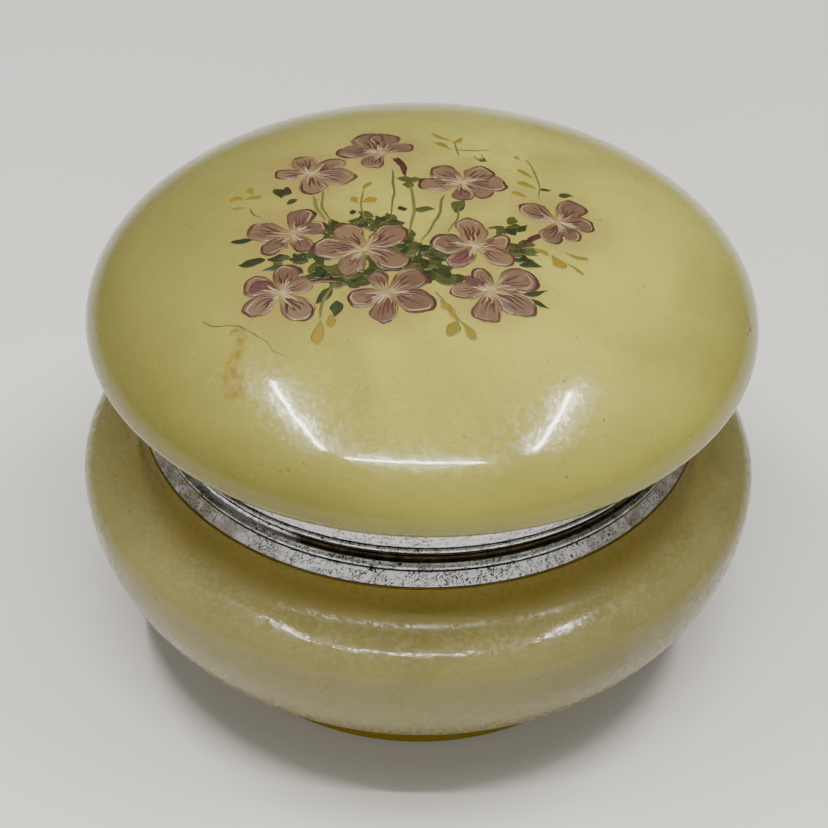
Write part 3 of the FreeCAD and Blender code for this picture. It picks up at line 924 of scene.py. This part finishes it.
# Under the dabs, a few broad dark strokes close the gaps.
UNDERPAINT = [
    (-9.4, -3.4, 8, 4.8, 5.0), (-5.6, -9.2, 5, 6.4, 6.0), (-2.8, -11.0, -38, 9.0, 9.0),
    (-15.2, -15.6, -4, 7.8, 7.0), (-16.0, -4.6, 10, 3.8, 6.0), (12.8, -8.4, -22, 4.8, 5.0),
    (-18.4, -14.6, -6, 4.8, 4.0), (-8.4, -13.0, -10, 5.0, 4.6), (-18.8, -9.6, -20, 4.6, 4.2),
]
underpaint = copies(leaf_touch, UNDERPAINT)
painted.append(lay(underpaint, "painted_leaf_shadows", SHADOWS_TOP, leaf_shadow))
for layer in range(LAYERS):
    name = f"painted_leaves_{layer + 1}"
    height = LEAVES_TOP + LEAF_STEP * layer
    painted.append(lay(copies(leaf_touch, foliage[layer::LAYERS]), name, height, leaf_green))
print("leaves:", len(LEAVES), "dabs:", len(clumped))

# %% Stems
STEMS_TOP = 0.030 * mm

# points along each stem, then its width
STEMS = [
    ([(-5.6, 14.0), (-5.2, 7.0), (-5.5, -1.0)], 0.40),
    ([(-2.6, 9.6), (-1.8, 2.0), (-2.9, -6.6)], 0.55),
    ([(2.9, 6.3), (1.8, -1.0), (-0.7, -7.2)], 0.50),
    ([(-18.2, 6.2), (-17.4, 2.6), (-15.8, -1.4)], 0.60),
    ([(-16.5, 7.4), (-16.6, 3.0), (-15.0, -1.6)], 0.45),
    ([(5.4, 3.4), (5.0, -1.0), (3.4, -4.4)], 0.40),
    ([(-10.1, 7.6), (-10.2, 3.0), (-9.6, -1.2)], 0.35),
    ([(-14.0, -17.4), (-15.4, -20.6), (-15.8, -24.4)], 0.60),
    ([(2.0, -18.6), (4.2, -22.4), (7.0, -26.2)], 0.50),
    ([(4.8, 23.6), (4.9, 21.0), (5.3, 19.2)], 0.35),
    ([(4.7, 21.6), (7.4, 21.4), (10.4, 22.4)], 0.35),
    ([(7.6, 19.6), (8.8, 18.2), (9.2, 20.4)], 0.30),
    ([(16.4, 20.0), (18.2, 14.0), (18.4, 7.2)], 0.30),
    ([(-28.4, 4.4), (-27.6, 2.6), (-26.2, 1.4)], 0.25),
]


def lines_in_mm(drawn):
    """A line for each pair of points and width, given in millimetres."""
    return [line([(x * mm, y * mm) for x, y in points], width * mm) for points, width in drawn]


painted.append(lay(lines_in_mm(STEMS), "painted_stems", STEMS_TOP, stem_green, STEADY))
print("stems:", len(STEMS))

# %% Dark stalks behind the flowers
STALKS_TOP = 0.034 * mm
STALKS = [
    ([(-4.9, 17.9), (-3.9, 15.0), (-3.4, 11.6)], 1.10),
    ([(-5.6, 17.6), (-4.4, 15.8), (-3.6, 13.0)], 0.80),
    ([(19.8, -2.2), (17.4, -3.6), (15.2, -7.0)], 0.90),
    ([(19.0, -2.6), (16.8, -4.8), (14.6, -7.4)], 0.50),
    ([(-17.8, -16.3), (-15.6, -16.0), (-12.6, -16.4)], 0.90),
    ([(-22.8, 9.8), (-22.6, 8.2), (-23.4, 6.6)], 1.00),
    ([(-18.0, -8.2), (-16.4, -9.6), (-14.2, -10.0)], 1.00),
]
painted.append(lay(lines_in_mm(STALKS), "painted_stalks", STALKS_TOP, line_maroon, STEADY))
print("stalks:", len(STALKS))

# %% Ochre sprigs
BUDS_TOP = 0.032 * mm
BUD_LENGTH, BUD_WIDTH = 0.95, 0.82  # shares of the sizes in the list
BUDS = [
    (-29.4, 7.8, 175, 2.5, 2.7), (-29.2, 4.8, 175, 2.4, 2.5), (-28.2, 8.8, 100, 2.7, 2.1),
    (-29.2, 7.2, 20, 3.2, 2.5), (-10.4, 3.3, 130, 2.9, 2.7), (-10.0, 3.7, 35, 2.7, 3.1),
    (-10.1, 7.4, 60, 2.9, 2.0), (4.6, 23.6, 135, 5.9, 1.6), (4.2, 21.2, 137, 4.6, 2.0),
    (4.5, 23.2, 70, 3.4, 2.1), (16.0, 19.4, 145, 2.3, 1.5), (17.8, 13.8, 142, 3.4, 2.5),
    (17.8, 10.2, 150, 3.2, 2.6), (16.4, 7.8, 170, 2.7, 2.6), (17.2, -6.2, -38, 3.4, 2.5),
    (20.3, -7.8, -65, 3.6, 4.3), (22.2, -6.8, -16, 4.2, 2.2), (22.2, -9.0, -42, 4.2, 2.2),
    (-15.6, -24.6, -92, 5.0, 4.6), (-14.4, -23.6, -74, 2.7, 3.2), (2.6, -20.4, -58, 3.4, 3.1),
    (5.2, -24.0, -100, 4.4, 4.3), (6.2, -24.6, -64, 4.6, 3.5), (3.8, -22.0, -62, 2.7, 2.5),
]
slim_buds = [(x, y, way, long * BUD_LENGTH, wide * BUD_WIDTH) for x, y, way, long, wide in BUDS]
painted.append(lay(copies(bud_touch, slim_buds), "painted_buds", BUDS_TOP, sprig_ochre))
print("buds:", len(BUDS))

# %% A hairline crack left of the flowers, and a dark mark at the right edge
CRACK_TOP = 0.010 * mm
CRACK = [
    ([(-34.0, -21.6), (-31.2, -23.4), (-29.0, -23.6), (-26.4, -24.8)], 0.22),
    ([(-26.8, -24.2), (-25.0, -22.2), (-24.0, -21.6)], 0.16),
    ([(-26.6, -24.8), (-23.6, -28.2), (-20.4, -31.4)], 0.14),
    ([(-29.6, -25.4), (-28.2, -24.2), (-26.6, -24.8)], 0.16),
    ([(51.6, -5.4), (52.7, -8.0), (52.4, -11.0)], 0.30),
]
crack_dirt = enamel("crack_dirt", (0.065, 0.048, 0.015), (0.13, 0.098, 0.03))
painted.append(lay(lines_in_mm(CRACK), "lid_crack", CRACK_TOP, crack_dirt))
print("crack lines:", len(CRACK))

# %% Putting the touches away
for source in [petal_touch, leaf_touch, bud_touch, line_touch, *line_sets, *cream_sets]:
    bpy.data.objects.remove(source)
print("painted pieces:", [p.name for p in painted])
